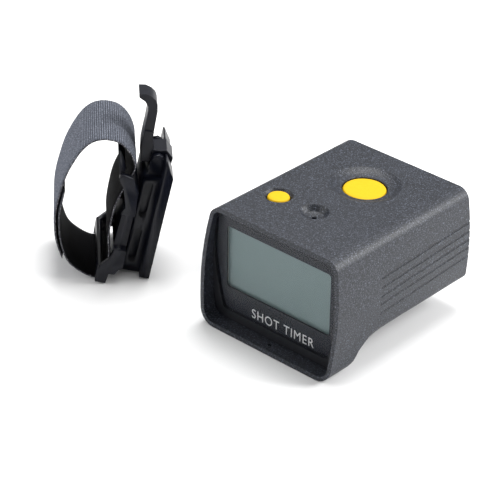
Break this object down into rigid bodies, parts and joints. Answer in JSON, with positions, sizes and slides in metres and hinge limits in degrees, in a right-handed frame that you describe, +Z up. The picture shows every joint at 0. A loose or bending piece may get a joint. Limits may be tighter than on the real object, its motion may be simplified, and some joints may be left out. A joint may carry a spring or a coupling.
{
  "type": "wrist shot timer with quick-release wrist dock",
  "caption": "Hand-size electronic shot timer with a hooded display and two round push buttons, beside its detached wrist dock with rail plate, release lever and elastic strap.",
  "frame": {"origin": "middle of the timer's front foot on the table, below the front edge of its top", "axes": "+Z up, -Y the way the display faces, +X the timer's right as its display is read"},
  "size_m": [0.1353, 0.0901, 0.0676],
  "materials": {
    "case": "fine sparkle texture",
    "bezel_black": "satin",
    "button_yellow": "satin",
    "window_glass": "polished",
    "lcd_glass": "polished",
    "light_plastic": "satin",
    "board_green": "solder mask",
    "black_rubber": "matt",
    "bright_steel": "satin",
    "dark_steel": "blackened",
    "film_wrap": "satin",
    "dock_black": "satin",
    "strap_web": "ribbed elastic"
  },
  "bodies": {
    "timer": {"housing": "case", "base_cover": "case", "window_bezel": "bezel_black", "start_switch": "bezel_black", "mode_switch": "bezel_black", "buzzer": "bezel_black", "processor": "bezel_black", "charger_chip": "bezel_black", "display_window": "window_glass", "lcd_panel": "lcd_glass", "lcd_frame": "light_plastic", "backlight_diffuser": "light_plastic", "main_board": "board_green", "display_board": "board_green", "case_gasket": "black_rubber", "connector_strip_upper": "black_rubber", "connector_strip_lower": "black_rubber", "start_button_dome": "black_rubber", "mode_button_dome": "black_rubber", "microphone_boot": "black_rubber", "battery_pad": "black_rubber", "base_screw_1": "bright_steel", "base_screw_2": "bright_steel", "base_screw_3": "bright_steel", "base_screw_4": "bright_steel", "board_screw_1": "bright_steel", "board_screw_2": "bright_steel", "board_screw_3": "bright_steel", "board_screw_4": "bright_steel", "microphone": "bright_steel", "usb_socket": "bright_steel", "battery": "film_wrap", "display_cable": "film_wrap"},
    "start_button": {"start_button_cap": "button_yellow", "start_switch_plunger": "bright_steel"},
    "mode_button": {"mode_button_cap": "button_yellow", "mode_switch_plunger": "bright_steel"},
    "usb_cover": {"usb_port_cover": "black_rubber"},
    "dock": {"rail_plate": "dock_black", "saddle_frame": "dock_black", "saddle_screw_1": "bright_steel", "saddle_screw_2": "bright_steel", "lever_pin": "dark_steel", "lever_spring": "bright_steel", "wrist_strap": "strap_web"},
    "release_lever": {"release_lever": "dock_black"}
  },
  "joints": [
    {"name": "start_press", "type": "slide", "parent": "timer", "child": "start_button", "axis": [0, 0, -1], "range_m": [0, 0.0006], "stiffness_N_per_m": 1500, "springref_m": -0.0004, "deforming": ["start_button_dome"]},
    {"name": "mode_press", "type": "slide", "parent": "timer", "child": "mode_button", "axis": [0, 0, -1], "range_m": [0, 0.0006], "stiffness_N_per_m": 1500, "springref_m": -0.0004, "deforming": ["mode_button_dome"]},
    {"name": "usb_cover_hinge", "type": "hinge", "parent": "timer", "child": "usb_cover", "pos_m": [0, 0.07115, 0.0263], "axis": [-1, 0, 0], "range_deg": [0, 100], "stiffness_Nm_per_rad": 0.0005},
    {"name": "dock_lift", "type": "slide", "parent": "timer", "child": "dock", "axis": [0, 0, 1], "range_m": [0, 0.12]},
    {"name": "lever_release", "type": "hinge", "parent": "dock", "child": "release_lever", "pos_m": [-0.06923, 0.01752, 0.04256], "axis": [0.7169, -0.6972, 0], "range_deg": [0, 6], "stiffness_Nm_per_rad": 0.15, "springref_deg": -2.86}
  ]
}
